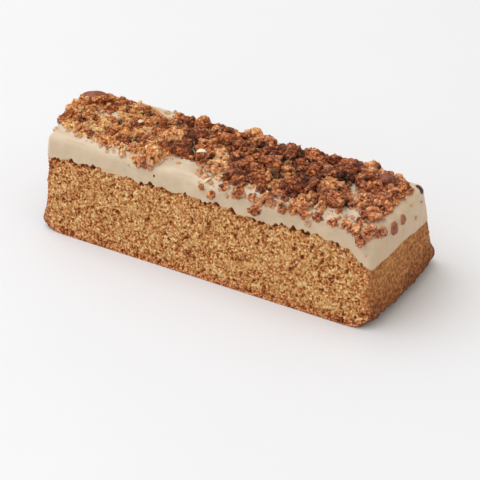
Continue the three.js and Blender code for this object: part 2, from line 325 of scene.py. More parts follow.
def rolled_band(name, around, up, place):
    """A grid of around by up squares, rolled by place(u, v), welded, and closed at both rims."""
    bm, flat = unit_grid(around, up)
    for vert, point in zip(bm.verts, place(flat[:, 0], flat[:, 1]) * MM):
        vert.co = point
    bmesh.ops.remove_doubles(bm, verts=bm.verts, dist=WELD_DISTANCE * MM)
    bmesh.ops.holes_fill(bm, edges=[edge for edge in bm.edges if edge.is_boundary])
    bmesh.ops.recalc_face_normals(bm, faces=bm.faces)
    return finished_object(name, bm)


def read_points(mesh):
    """Points and normals of a mesh, points in millimetres."""
    points = np.empty(len(mesh.vertices) * 3)
    normals = np.empty(len(mesh.vertices) * 3)
    mesh.vertices.foreach_get("co", points)
    mesh.vertex_normals.foreach_get("vector", normals)
    return points.reshape(-1, 3) / MM, normals.reshape(-1, 3)


def write_points(mesh, points):
    mesh.vertices.foreach_set("co", (points * MM).ravel())
    mesh.update()


def write_value(mesh, name, values):
    """Keeps one number for each point, for a material to read."""
    attribute = mesh.attributes.new(name, "FLOAT", "POINT")
    attribute.data.foreach_set("value", np.asarray(values, dtype=np.float32))


def share_round(points):
    """The u of points that lie on or near the bar's walls, worked out a block at a time."""
    steps = np.linspace(0, 1, PATH_STEPS, endpoint=False)
    path = outline(steps, np.full_like(steps, EDGE_LEVEL), 0.0)[:, :2]
    shares = []
    for start in range(0, len(points), PATH_BLOCK):
        away = points[start:start + PATH_BLOCK, None, :2] - path[None]
        shares.append(steps[(away ** 2).sum(axis=2).argmin(axis=1)])
    return np.concatenate(shares)


# %% [markdown]
# ## The sponge
# On the real cake the long faces are cut, so they show the inside: pale grains of crumb under a
# millimetre wide, with red-brown gaps between them. The ends and the foot are baked skin, closed
# and darker, with a rough, bulging foot. The band is one mesh, and the direction that a point
# faces decides how much crumb relief it gets. Cells and three noises make the grains, and pores
# are sunk under the coat's notches.

# %% Sponge mesh
SPONGE_AROUND = 1010
SPONGE_UP = 90
SHOWN_ROWS = 0.93
ROWS_UNDER_EDGE = 1.4
UNDER_COAT = 1.3
TUCK = (0.2, 1.8)


def sponge_place(u, v):
    edge = smooth_edge(u)
    shown_top = edge + ROWS_UNDER_EDGE
    shown = shown_top * np.minimum(v / SHOWN_ROWS, 1) ** 1.1
    hidden = (SPONGE_TOP - shown_top) * np.clip((v - SHOWN_ROWS) / (1 - SHOWN_ROWS), 0, 1)
    z = shown + hidden
    tuck = step_between(z, edge + TUCK[0], edge + TUCK[1])
    return outline(u, z, -UNDER_COAT * tuck)


sponge = rolled_band("sponge", SPONGE_AROUND, SPONGE_UP, sponge_place)
print("sponge:", len(sponge.data.polygons), "faces")

# %% Crumb relief and what it keeps
CUT_FACING = (0.55, 0.85)
FLAT_FOOT = 0.8
CRUMB_GRAIN = 0.95
GRAIN_HEIGHT = 0.34
FOOT_ROUGHNESS = 0.42
PORE_DEPTH = 0.6
HOLLOW_DEPTH = 0.25
CRUMB_SINKS = 0.15
SKIN_SINKS = 0.1
LIGHTNESS_SPREAD = 0.24

points, normals = read_points(sponge.data)
cut = step_between(np.abs(normals[:, 1]), *CUT_FACING)
off_floor = step_between(points[:, 2], 0.0, FLAT_FOOT)
blocks = cells_at(warped(points, 0.8, 0.4), CRUMB_GRAIN)[0]
broad = noise_at(points, 3.2, 57.0)
middling = noise_at(points, 1.5, 23.0)
fine = noise_at(points, 0.72, 31.0)

u = share_round(points)
under_edge = points[:, 2] - smooth_edge(u)
edge_pore = np.clip(notch_depth(u) / 0.6, 0, 1) * np.exp(-((under_edge - 0.1) / 0.8) ** 2)
hollow = step_between(-noise_at(points, 2.0, 77.0), 0.34, 0.6)

crumb_relief = GRAIN_HEIGHT * blocks + 0.10 * broad + 0.22 * middling + 0.32 * fine
# Painted light and shade: the crumb is painted lighter where its relief stands high and darker where it is
# low.
raised = LIGHTNESS_SPREAD * (crumb_relief - crumb_relief.mean()) / crumb_relief.std()
lightness = np.clip(0.5 + raised, 0, 1)
crumb_relief = crumb_relief - PORE_DEPTH * edge_pore - HOLLOW_DEPTH * hollow - CRUMB_SINKS
foot_relief = FOOT_ROUGHNESS * (1 - step_between(points[:, 2], 2.5, 7.0)) * (broad + 0.5 * middling)
skin_relief = 0.20 * broad + 0.26 * middling + 0.22 * fine + foot_relief - SKIN_SINKS
relief = (crumb_relief * cut + skin_relief * (1 - cut)) * off_floor
write_points(sponge.data, points + normals * relief[:, None])

near_foot = 1 - step_between(points[:, 2], 1.2, 3.6)
near_left = 1 - step_between(points[:, 0] + BAR_LENGTH / 2, 2.0, 6.5)
near_right = 1 - step_between(BAR_LENGTH / 2 - points[:, 0], 2.5, 8.0)
# Redder near the foot and the ends for the baked crust, and in the pores under the notches and in the hollows
# as painted shade.
crust_and_pore_shade = 0.75 * near_foot + 0.9 * near_left + 0.7 * near_right + edge_pore + 0.5 * hollow
# The pores under the coat's notches and the hollows are also painted darker: painted shade.
write_value(sponge.data, "painted_relief_light", lightness - 0.9 * edge_pore - 0.35 * hollow)
write_value(sponge.data, "cut", cut)
write_value(sponge.data, "baked_and_shade", np.clip(crust_and_pore_shade, 0, 1))
print(f"crumb relief from {relief.min():.2f} to {relief.max():.2f} mm")

# %% [markdown]
# ## The crumble's plan
# Crumbs were strewn on the wet coat. They end along uneven lines at the front and the back, leave
# a few places bare, and a few slid over the rim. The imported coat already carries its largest
# crumbs: some that stand out keep their place, and each further one takes the roomiest of a few
# drawn spots. The same rule and the same random numbers are run here, so that the fine clumps
# stand where those do. Each standing crumb also has a tone here, from 0, dark, to 1, pale.

# %% Where the crumbs lie
SEED = 41
SPOT_DRAWS = 14
BIG_FROM = -24
FINE_UP_TO = -18
LEFT_TONE = 0.50
RIGHT_TONE = 0.32
TONE_SPREAD = 0.25
FRONT_LINE = [(-56.4, -11.6), (-51, -15.2), (-37, -17.2), (-24, -16.4), (-18.4, -15.4), (-15.6, -11.6),
              (-4, -12.2), (0, -16.8), (12, -17.6), (30, -17.8), (50, -17.7), (54.6, -15.6)]
BACK_LINE = [(-56.4, 3.4), (-50, 9), (-14, 9.8), (2, 11), (40, 11), (48, 9.6), (54.6, 4.4)]
CRUMBLE_LEFT = FRONT_LINE[0][0]
CRUMBLE_RIGHT = FRONT_LINE[-1][0]
CRUMB_KINDS = [(32, (5, 6.4), BIG_FROM), (130, (3.5, 4.8), CRUMBLE_LEFT), (90, (2.4, 3.2), CRUMBLE_LEFT)]
CRUMB_FLATNESS = 0.8
CRUMB_SINK = 0.65
BARE_PLACES = [(-30.5, 9.4, 2.6), (-43.8, -1.2, 1.8), (42.2, -3.4, 2.6), (48.6, -0.8, 1.8),
               (45.2, -14.6, 2.2), (13.4, -15.2, 1.6), (40, -16.6, 1.4), (-3.6, -15, 2.4)]
STANDING_CRUMBS = [(-20.4, -14.6, 6.2, 0.62), (-7.2, 4.8, 6, 0.2), (-5, 0.6, 4.6, 0.45),
                   (-6.2, -8.8, 6.4, 0.35), (3.6, -6.2, 7.2, 0.3), (13, -2.4, 7, 0.25),
                   (15.4, -9.2, 5.2, 0.5), (28.6, -6.6, 5.6, 0.15), (33.6, 1.6, 6, 0.2),
                   (45.6, 6.2, 4.8, 0.4), (51.6, 0.2, 5, 0.45), (50.6, -12.6, 5.8, 0.5),
                   (30.6, -15.6, 5.4, 0.6), (-54.84, -2.6, 5.2, 0.6), (54.9, 7.2, 3.2, 0.1)]
FRONT_STRAYS = [(-23, 31.4, 4.6), (-1.2, 29.6, 2.6), (2.6, 28.5, 3.4), (6, 31.4, 3), (10.6, 31, 4.4),
                (15.2, 30.8, 3), (17.6, 28, 4.2), (20.4, 31.2, 3.6), (25.4, 30.4, 3.8), (28.8, 31, 3.4),
                (32.5, 30.8, 3.4), (36.8, 30.9, 3.6), (41.8, 30.8, 3.2), (46, 31, 3.2),
                (49.2, 30.8, 3.8), (51.2, 28.8, 4.8), (53.4, 30.8, 4.4)]
END_STRAYS = [(-10.2, 28.9, 3.2), (-5.2, 29.3, 2.6), (-15.8, 30.4, 3.6)]


def strewing(state):
    """Repeatable numbers from 0 to 1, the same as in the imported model."""
    while True:
        state = (state * 16807) % 2147483647
        yield state / 2147483647


def inside_crumble(x, y):
    """How far a spot lies inside the crumble's outline, in millimetres; below 0 is outside."""
    sides = [y - np.interp(x, *zip(*FRONT_LINE)), np.interp(x, *zip(*BACK_LINE)) - y,
             x - CRUMBLE_LEFT, CRUMBLE_RIGHT - x]
    sides += [np.hypot(x - bare_x, y - bare_y) - reach for bare_x, bare_y, reach in BARE_PLACES]
    return np.minimum.reduce(sides)


def roomiest_spot(size, placed, leftmost):
    """Of a few drawn spots, the one farthest from the crumbs that lie there already."""
    inset = size / 3
    low, high = leftmost + inset, CRUMBLE_RIGHT - inset
    spots = []
    while len(spots) < SPOT_DRAWS:
        x = low + (high - low) * next(strewn)
        y = BASE_WIDTH * (next(strewn) - 0.5)
        if inside_crumble(x, y) >= inset:
            spots.append((x, y))

    def room(spot):
        return min(math.hypot(spot[0] - x, spot[1] - y) - (size + other) / 2 for x, y, other, _ in placed)

    return max(spots, key=room)


strewn = strewing(SEED)
tone_draw = np.random.default_rng(SEED)
flat_crumbs = list(STANDING_CRUMBS)
for count, (smallest, largest), leftmost in CRUMB_KINDS:
    for _ in range(count):
        size = smallest + (largest - smallest) * next(strewn)
        x, y = roomiest_spot(size, flat_crumbs, leftmost)
        usual = LEFT_TONE if x < FINE_UP_TO else RIGHT_TONE
        tone = float(np.clip(tone_draw.normal(usual, TONE_SPREAD), 0, 1))
        flat_crumbs.append((x, y, size, tone))
crumbs = [(x, y, COAT_HEIGHT + CRUMB_FLATNESS * size / 2 * (1 - CRUMB_SINK), size, tone)
          for x, y, size, tone in flat_crumbs]
print(len(crumbs), "crumbs on top")

# %% [markdown]
# The strays are listed. Each lies on a wall of the coat, so its place is worked out from
# the wall there and its size: sunk as deep as the crumbs on top.

# %% Strays on the front and right walls
STRAY_TONE = 0.45
RIGHT, FRONT, BACK = 1, 2, 3


def wall_side(side, z, grow=0.0):
    """Where one side of the bar stands at height z, moved outwards by grow."""
    return float(section(np.float64(z), grow)[side])


def stands_out(size):
    """How far a stray's middle stands out of the sponge's wall."""
    return size / 2 * (1 - CRUMB_SINK) + COAT_PROUD


strays = []
for x, z, size in FRONT_STRAYS:
    rimmed = max(z - COAT_SHOULDER, 0) / 2
    strays.append((x, wall_side(FRONT, z, stands_out(size)) + rimmed, z, size, STRAY_TONE))
for y, z, size in END_STRAYS:
    middle = (wall_side(FRONT, z) + wall_side(BACK, z)) / 2
    stand = RIGHT_CROWN * ((y - middle) / (wall_side(BACK, z) - middle)) ** 2
    strays.append((wall_side(RIGHT, z, stands_out(size)) - stand, y, z, size, STRAY_TONE))
print(len(strays), "strays")

# %% [markdown]
# ## The coat
# The coat is a second band. Going up, its section tucks in behind the edge, turns round a thin
# lip, climbs the wall, rounds the rim and closes over the top. It is smooth, but not flat: it
# sagged a little before it set, and it climbs round each crumb that was pressed into it.

# %% Coat mesh
COAT_AROUND = 820
COAT_UP = 74
COAT_LEGS = np.array([1.2, 0.7, 8.0, 3.8, 13.6])
COAT_LEG_STARTS = np.concatenate([[0], np.cumsum(COAT_LEGS)])
LIP_TUCK = -1.1
LIP_RISE = 0.8
TOP_HALF_WIDTH = 14.2
QUARTER = math.pi / 2


def coat_place(u, v):
    edge = ragged_edge(u)
    travelled = v * COAT_LEG_STARTS[-1]
    inner, lip, wall, rim, top = [
        np.clip((travelled - start) / length, 0, 1)
        for start, length in zip(COAT_LEG_STARTS[:-1], COAT_LEGS)]
    z = edge + LIP_RISE - LIP_RISE * inner + COAT_PROUD * (1 - np.cos(lip * QUARTER))
    z = z + (COAT_SHOULDER - edge - COAT_PROUD) * wall + COAT_ROUND * np.sin(rim * QUARTER)
    grow = LIP_TUCK - LIP_TUCK * inner + COAT_PROUD * np.sin(lip * QUARTER)
    grow = grow - COAT_ROUND * (1 - np.cos(rim * QUARTER))
    return outline(u, z, grow - (TOP_HALF_WIDTH - COAT_ROUND) * top)


coat = rolled_band("coat", COAT_AROUND, COAT_UP, coat_place)
print("coat:", len(coat.data.polygons), "faces")

# %% Sags, and the climb round the crumbs
SAG_HEIGHT = 0.26
RUN_HEIGHT = 0.26
RUN_LENGTH = 0.35
RIPPLE_HEIGHT = 0.04
CLIMB_HEIGHT = 0.6
CLIMB_REACH = 0.7

points, normals = read_points(coat.data)
above_edge = points[:, 2] - smooth_edge(share_round(points))
free = step_between(above_edge, 0.3, 2.0)
runs = points * (1, 1, RUN_LENGTH)
sag = SAG_HEIGHT * noise_at(points, 7.0) + RUN_HEIGHT * noise_at(runs, 3.2, 3.0)
sag = sag + RIPPLE_HEIGHT * noise_at(runs, 1.4, 5.0)
climb = np.zeros(len(points))
for x, y, z, size, _ in crumbs + strays:
    away = np.linalg.norm(points - (x, y, z), axis=1) - size / 2
    climb = np.maximum(climb, np.exp(-np.clip(away, 0, None) / CLIMB_REACH))
relief = sag * (0.3 + 0.7 * free) + CLIMB_HEIGHT * climb * free
write_points(coat.data, points + normals * relief[:, None])
write_value(coat.data, "edge", 1 - step_between(above_edge, 0.0, 1.6))
print(f"coat relief from {relief.min():.2f} to {relief.max():.2f} mm")

# %% [markdown]
# ## What all crumble shares
# Baked crumble is lumps, and each lump is itself built of grains, so one function gives a relief
# in lobes and granules, with painted light that makes its heights paler and painted shade in its
# creases. The hollows between the clumps, which get painted shade, are listed, each with its
# reach, and another function tells how deep in one a point lies. Crumble at the margin touches
# the coat, which crept up it and left a milky film. So the rest tell how far a spot lies inside
# the coat's walls and how far a point stands out of the coat, and turn that into film.

# %% Crumble helpers
HOLLOWS = [(15.0, -0.3, 2.8), (16.6, -7.7, 2.2), (3.6, -6.8, 2.2), (29.0, -5.8, 2.6), (35.6, 0.0, 2.4),
           (-7.8, 5.8, 2.4), (-3.2, -10.2, 1.8), (-1.2, 1.0, 1.8), (17.6, 5.8, 1.8), (6.0, 3.8, 1.8),
           (33.6, -10.0, 1.8), (41.4, -11.8, 1.5), (48.2, 6.0, 1.8), (8.8, -9.7, 1.6), (26.0, -5.0, 1.6),
           (-33.3, 4.1, 1.5), (-28.3, -10.2, 1.5), (-18.3, -7.7, 1.5), (-38.2, -4.4, 1.3),
           (-18.4, 3.8, 1.3), (-22.6, 2.8, 1.3), (-11.2, -7.6, 1.5)]
FINE_LOBE = 1.8
LOBE = 2.7
LOBE_HEIGHT = 0.30
LOBE_TONE = 0.3
GRANULE = 0.9
GRANULE_HEIGHT = 0.26
GRANULE_TONE = 0.15
HEIGHT_PAINTED_LIGHT = 0.55
CRUMBLE_ROUGH = [(0.32, 0.95, 7.0), (0.2, 0.55, 7.0)]
RELIEF_MIDDLE = 0.6
SEAM_WIDTH = 0.1
PATCH_FILM = 0.45


def crumble_relief(points, shift, lobe):
    """Relief in lobes and granules, its paleness with painted light on its heights, and painted shade for its
    creases.
    """
    bent = warped(points, 1.3, 0.5)
    lobes, lobe_seam, lobe_number = cells_at(bent, lobe, shift)
    granules, _, granule_number = cells_at(bent, GRANULE, shift)
    lumpy = layered_noise(points, [(0.5, lobe, 5.0), (0.4, 1.5, 6.0)])
    rough = layered_noise(points, CRUMBLE_ROUGH)
    relief = LOBE_HEIGHT * lobe * lobes + GRANULE_HEIGHT * granules + lumpy + rough
    raised = (relief - relief.mean()) / relief.std()
    # Random tone for each lobe and granule, and painted light that makes the heights paler.
    paleness_and_painted_light = LOBE_TONE * lobe_number + GRANULE_TONE * granule_number
    paleness_and_painted_light = paleness_and_painted_light + HEIGHT_PAINTED_LIGHT * np.clip(0.5 + 0.3 * raised, 0, 1)
    # Painted shade: darker in the seams between lobes and where the relief is low.
    painted_light = np.clip(lobe_seam / SEAM_WIDTH, 0.75, 1) * np.clip(1.35 + 0.55 * raised, 0.15, 1)
    return relief, paleness_and_painted_light, painted_light


def coat_section(z):
    """The coat's four sides at height z; above its shoulder, those at the shoulder."""
    return section(np.minimum(z, COAT_SHOULDER), COAT_PROUD)[:4]


def rim_inwards(x, y, z):
    """How far spots lie inside the coat's walls, the curve of the ends included."""
    left, right, front, back = coat_section(z)
    across = np.clip((2 * y - front - back) / (back - front), -1, 1)
    crown = np.where(x > 0, RIGHT_CROWN, LEFT_CROWN)
    x = x / (1 - crown * across ** 2 / (BAR_LENGTH / 2))
    return np.minimum.reduce([x - left, right - x, y - front, back - y])


def above_coat(points):
    """How far points stand out of the coat, in millimetres, its rounded rim included."""
    past_rim = np.clip(COAT_ROUND - rim_inwards(*points.T), 0, None)
    past_shoulder = np.clip(points[:, 2] - COAT_SHOULDER, 0, None)
    return np.hypot(past_rim, past_shoulder) - COAT_ROUND


def in_hollow(points):
    """1 in the middle of the hollows between the clumps, which get painted shade, 0 outside them."""
    away = [((points[:, 0] - x) ** 2 + (points[:, 1] - y) ** 2) / reach ** 2 for x, y, reach in HOLLOWS]
    return np.exp(-np.minimum.reduce(away))


def milky(points, patches):
    """Film of coat on crumble: thick near the coat at the margin, in patches elsewhere."""
    margin = 1 - step_between(inside_crumble(points[:, 0], points[:, 1]), 1.0, 4.0)
    low_down = 1 - step_between(above_coat(points), 0.1, 1.3 + 0.8 * patches)
    patchy = PATCH_FILM * step_between(patches, 0.25, 0.8) * (0.3 + 0.7 * margin)
    return np.clip(low_down * margin + patchy, 0, 1)


# %% [markdown]
# ## The bed of crumble
# Between the crumbs lies finer crumble, which hides most of the coat. A heap of what is finer
# than rice is best made as relief on one surface: a flat grid, raised where the crumble lies and
# sunk under the coat where it does not, so that its outline is as uneven as the real one. It is
# finer and thicker on the left; towards the right it is low, with painted shade between the clumps.

# %% Bed mesh
BED_LEFT = 1.3
BED_RIGHT = 0.3
BED_FALL = (-26, -6)
BED_STEP = 0.25
BED_MARGIN = 1.6
BED_HIDDEN = 0.7
BED_CUT = -0.7
BED_INSET = 0.5
BED_SHIFT = 50.0
MARGIN_NOISE = [(0.9, 1.7, 0.0), (0.8, 4.0, 9.0)]
HOLLOW_SINK = 0.7
HOLLOW_PAINTED_SHADE = 0.9
BED_PALER = 0.10
RIGHT_DARKER = 0.23


def coat_surface(x, y):
    """Height of the coat's top at a spot, its rounded rim included."""
    short = np.clip(COAT_ROUND - rim_inwards(x, y, np.full_like(x, COAT_HEIGHT)), 0, COAT_ROUND)
    return COAT_SHOULDER + np.sqrt(COAT_ROUND ** 2 - short ** 2)


low = np.array([CRUMBLE_LEFT - BED_MARGIN, min(y for x, y in FRONT_LINE) - BED_MARGIN])
high = np.array([CRUMBLE_RIGHT + BED_MARGIN, max(y for x, y in BACK_LINE) + BED_MARGIN])
bm, flat = unit_grid(*((high - low) / BED_STEP).astype(int).tolist())
bed_xy = low + flat * (high - low)
bed_points = np.column_stack([bed_xy, np.full(len(bed_xy), COAT_HEIGHT)])
inside = inside_crumble(*bed_xy.T) + layered_noise(bed_points, MARGIN_NOISE)
cover = step_between(inside, -0.2, 1.5)
to_right = step_between(bed_points[:, 0], *BED_FALL)
reliefs = [crumble_relief(bed_points, BED_SHIFT, lobe) for lobe in (FINE_LOBE, LOBE)]
# The lobe reliefs bring their tone, with painted light on the heights, and their painted shade.
relief, tone, painted_light = [fine + (lumpy - fine) * to_right for fine, lumpy in zip(*reliefs)]
swell = 0.8 * noise_at(bed_points, 5.0, 20.0)
bed_height = BED_LEFT + (BED_RIGHT - BED_LEFT) * to_right
sunk = in_hollow(bed_points)
thick = bed_height + swell + relief - RELIEF_MIDDLE - HOLLOW_SINK * sunk
thick = thick * cover - BED_HIDDEN * (1 - cover)
bed_points[:, 2] = coat_surface(*bed_xy.T) + thick
print("bed: thickest at", round(float(thick.max()), 1), "mm")

# %% Bed values and margins
tone = np.clip(tone + BED_PALER - RIGHT_DARKER * to_right, 0, 1)
# Painted shade: the bed is painted darker where it lies thin well inside the margin, more so to the right,
# and in the hollows.
deep_down = (1 - step_between(thick, 0.0, 1.6)) * step_between(inside, 1.5, 3.5)
painted_light = painted_light * (1 - (0.5 + 0.25 * to_right) * deep_down) * (1 - HOLLOW_PAINTED_SHADE * sunk)
film = milky(bed_points, layered_noise(bed_points, [(1, 4.4, 33.0), (0.5, 1.5, 2.0)]))
bed_layers = [bm.verts.layers.float.new(name) for name in ("tone", "painted_light", "film")]
for vert, point, values in zip(bm.verts, bed_points * MM, zip(tone, painted_light, film)):
    vert.co = point
    for layer, value in zip(bed_layers, values):
        vert[layer] = value
bm.verts.ensure_lookup_table()
past_rim = rim_inwards(*bed_xy.T, np.full(len(bed_xy), COAT_HEIGHT)) < BED_INSET
far_out = [bm.verts[index] for index in np.nonzero((inside < BED_CUT) | past_rim)[0]]
bmesh.ops.delete(bm, geom=far_out, context="VERTS")
bed = finished_object("crumble_bed", bm)
print("bed:", len(bed.data.polygons), "faces")

# %% [markdown]
# ## Clumps of crumble
# A clump starts as a ball from one operator. Its directions are pushed out by a slow noise for
# the lump, then by the same lobes and granules as the bed. Every clump is a new shape, and all
# clumps of one kind are joined into one mesh. Those on the left are finer. What stands too high
# is pressed down a little.

# %% Clump helpers
CLUMP_TALLNESS = 0.9
CLUMP_TOP = 35.0
CLUMP_PRESS = 0.6
BIG_LUMPS = 0.36
SMALL_LUMPS = 0.18
FULL_RELIEF_SIZE = 5.0
TONE_CONTRAST = 0.72
# Painted light and shade on the clumps: per millimetre over the coat, at the margin, on the left, its
# deepest, and the heights where the hollows' painted shade ends.
LIGHT_PER_MM = 0.36
LIGHT_AT_MARGIN = 0.6
LIGHT_ON_LEFT = 0.15
DARKEST = 0.05
HOLLOW_SHADE_ENDS = (2.8, 4.0)
clump_draw = np.random.default_rng(SEED)


def shape_of(bm):
    """Directions and faces of a bmesh, which is freed."""
    directions = np.array([vert.co[:] for vert in bm.verts])
    faces = np.array([[vert.index for vert in face.verts] for face in bm.faces])
    bm.free()
    return directions, faces


def ball(subdivisions):
    """Directions and faces of a ball made of even triangles."""
    bm = bmesh.new()
    bmesh.ops.create_icosphere(bm, subdivisions=subdivisions, radius=1)
    return shape_of(bm)


def turned(angle):
    """A turn about the upright axis."""
    across, along = math.cos(angle), math.sin(angle)
    return np.array([[across, along, 0], [-along, across, 0], [0, 0, 1]])


def clump_part(directions, faces, place, size, tone):
    """One clump's points, faces and values, and its outward directions."""
    on_left = place[0] < FINE_UP_TO
    shift = clump_draw.uniform(0, 90, 3)
    lump = 1 + BIG_LUMPS * noise_at(directions, 0.9, shift) + SMALL_LUMPS * noise_at(directions, 0.4, shift)
    stretch = np.array([clump_draw.uniform(0.95, 1.25), clump_draw.uniform(0.8, 1.1), CLUMP_TALLNESS])
    spin = turned(clump_draw.uniform(0, math.tau))
    body = (directions * lump[:, None] * stretch * size / 2) @ spin
    outward = directions @ spin
    relief, paleness_and_painted_light, painted_light = crumble_relief(body, shift, FINE_LOBE if on_left else LOBE)
    scale = min(size / FULL_RELIEF_SIZE, 1)
    points = body + outward * (scale * (relief - RELIEF_MIDDLE))[:, None] + np.array(place)
    points[:, 2] -= CLUMP_PRESS * np.clip(points[:, 2] - CLUMP_TOP, 0, None)

    out = above_coat(points)
    margin = 1 - step_between(inside_crumble(points[:, 0], points[:, 1]), 1.0, 3.5)
    # Painted light and shade: a clump is painted darker the lower it stands over the coat, lighter at the
    # margin and on the left, and darker again in the hollows.
    lit = np.clip(LIGHT_PER_MM * out + LIGHT_AT_MARGIN * margin + LIGHT_ON_LEFT * on_left, DARKEST, 1)
    lit = lit * (1 - HOLLOW_PAINTED_SHADE * in_hollow(points) * (1 - step_between(out, *HOLLOW_SHADE_ENDS)))
    film = milky(points, layered_noise(body, [(1, 2.6, shift), (0.4, 1.1, shift)]))
    # The paleness adds painted light on the heights to the clump's own tone.
    tones = np.clip(tone + TONE_CONTRAST * (paleness_and_painted_light - 0.5), 0, 1)
    return (points, faces, {"tone": tones, "painted_light": painted_light * lit, "film": film}), outward


def joined_mesh(name, parts):
    """One mesh from parts of (points, faces, values by name)."""
    points = np.concatenate([part[0] for part in parts])
    starts = np.cumsum([0] + [len(part[0]) for part in parts[:-1]])
    faces = np.concatenate([part[1] + start for part, start in zip(parts, starts)])
    mesh = bpy.data.meshes.new(name)
    mesh.from_pydata((points * MM).tolist(), [], faces.tolist())
    for value_name in parts[0][2]:
        write_value(mesh, value_name, np.concatenate([part[2][value_name] for part in parts]))
    mesh.shade_smooth()
    print(name + ":", len(parts), "parts,", len(mesh.polygons), "faces")
    return add_object(name, mesh)


# %% Clumps by size
SMOOTH_CRUMBS = [(45.6, 6.2), (54.9, 7.2)]
BIG_OVER = 4.9
SMALL_UP_TO = 3.3
ROUND_THE_NUT = [(-55.8, 1.4, 33.0, 2.6, 0.6), (-53.8, 1.2, 33.8, 2.5, 0.7), (-51.6, 1.9, 34.0, 2.7, 0.55),
                 (-49.8, 3.4, 34.0, 2.8, 0.4), (-48.4, 5.4, 34.0, 3.0, 0.3), (-57.0, 3.4, 32.6, 2.2, 0.6)]
skins = []


def make_clumps(name, spots, subdivisions, share_of_size):
    """One piece of many clumps. The skins that show are kept, for what lies on them."""
    directions, faces = ball(subdivisions)
    parts = []
    for x, y, z, size, tone in spots:
        part, outward = clump_part(directions, faces, (x, y, z), size * share_of_size, tone)
        parts.append(part)
        shown = outward[:, 2] > -0.1 if z > COAT_HEIGHT else outward[:, 1] < 0.3
        skins.append((part[0][shown], outward[shown], tone, size ** 2))
    return joined_mesh(name, parts)


grainy_crumbs = [crumb for crumb in crumbs if crumb[:2] not in SMOOTH_CRUMBS]
grainy_strays = strays[:len(FRONT_STRAYS)] + strays[-1:]
big_crumbs = [crumb for crumb in grainy_crumbs if crumb[3] > BIG_OVER]
middle_crumbs = [crumb for crumb in grainy_crumbs if SMALL_UP_TO < crumb[3] <= BIG_OVER]
small_crumbs = [crumb for crumb in grainy_crumbs if crumb[3] <= SMALL_UP_TO] + ROUND_THE_NUT
dark_first = sorted(big_crumbs, key=lambda crumb: crumb[4])
half = len(dark_first) // 2
clump_pieces = [
    make_clumps("crumble_dark_clumps", dark_first[:half], subdivisions=5, share_of_size=1.12),
    make_clumps("crumble_pale_clumps", dark_first[half:], subdivisions=5, share_of_size=1.12),
    make_clumps("crumble_clumps", middle_crumbs + grainy_strays, subdivisions=4, share_of_size=0.96),
    make_clumps("crumble_small_clumps", small_crumbs, subdivisions=4, share_of_size=0.92),
]

# %% [markdown]
# ## Nodules and loose grains
# On the clumps and the bed lie hundreds of nodules and single grains. Small crumbs fringe the
# crumble's front margin, gather round the strays and lie in the bare places. They repeat so
# often that each has only a few dozen faces: a cube, cut and pushed to a ball, then dented. A few
# dented shapes are turned and sized at random, and set on points picked from the skins below them.

# %% Nodules and grains
NODULES = 320
NODULE_SIZE = (0.9, 1.7)
FRINGE = 210
FRINGE_SIZE = (0.9, 2.6)
GRAINS = 3200
GRAIN_SIZE = (0.35, 0.9)
DENT = 0.22
DENTED_SHAPES = 9
BED_SHARE = 0.45
BARE_SHARE = 0.25
STRAY_SHARE = 0.35
PAINTED_SHADE_IN_HOLLOW = 0.75
SCATTERED_FILM = 0.6
RIM_INSET = 0.25
grain_draw = np.random.default_rng(SEED + 1)

bed_ways = np.tile((0.0, 0.0, 1.0), (len(bed_points), 1))
bed_shown = cover > 0.6


def dented_shapes(cuts):
    """A few dented balls, each from a cube with its edges cut this many times."""
    bm = bmesh.new()
    bmesh.ops.create_cube(bm, size=1)
    bmesh.ops.subdivide_edges(bm, edges=bm.edges, cuts=cuts, use_grid_fill=True)
    for vert in bm.verts:
        vert.co.normalize()
    directions, faces = shape_of(bm)
    dents = grain_draw.uniform(1 - DENT, 1 + DENT, (DENTED_SHAPES, len(directions), 1))
    return [directions * dent for dent in dents], faces


def random_turn():
    """A random rotation matrix."""
    square = np.linalg.qr(grain_draw.normal(size=(3, 3)))[0]
    return square * np.sign(np.linalg.det(square))


def picked_spots(count):
    """Spots on the skins of the clumps and on the bed, with the tone below each."""
    weights = np.array([weight for *_, weight in skins])
    weights = (1 - BED_SHARE) * weights / weights.sum()
    all_skins = skins + [(bed_points[bed_shown], bed_ways[bed_shown], 0.5, 1.0)]
    for index in grain_draw.choice(len(all_skins), count, p=np.append(weights, BED_SHARE)):
        skin, ways, tone, _ = all_skins[index]
        pick = grain_draw.integers(len(skin))
        yield skin[pick], ways[pick], np.clip(tone + grain_draw.normal(0.04, 0.13), 0, 1)


def spot_by_stray():
    """A spot on the coat's front wall beside one of the strays."""
    stray_x, stray_z, size = FRONT_STRAYS[grain_draw.integers(len(FRONT_STRAYS))]
    z = min(stray_z + size * grain_draw.uniform(-0.2, 0.9), COAT_HEIGHT - 1.2)
    x = stray_x + 0.45 * size * grain_draw.normal()
    return np.array([x, wall_side(FRONT, z, COAT_PROUD) + 0.2, z])


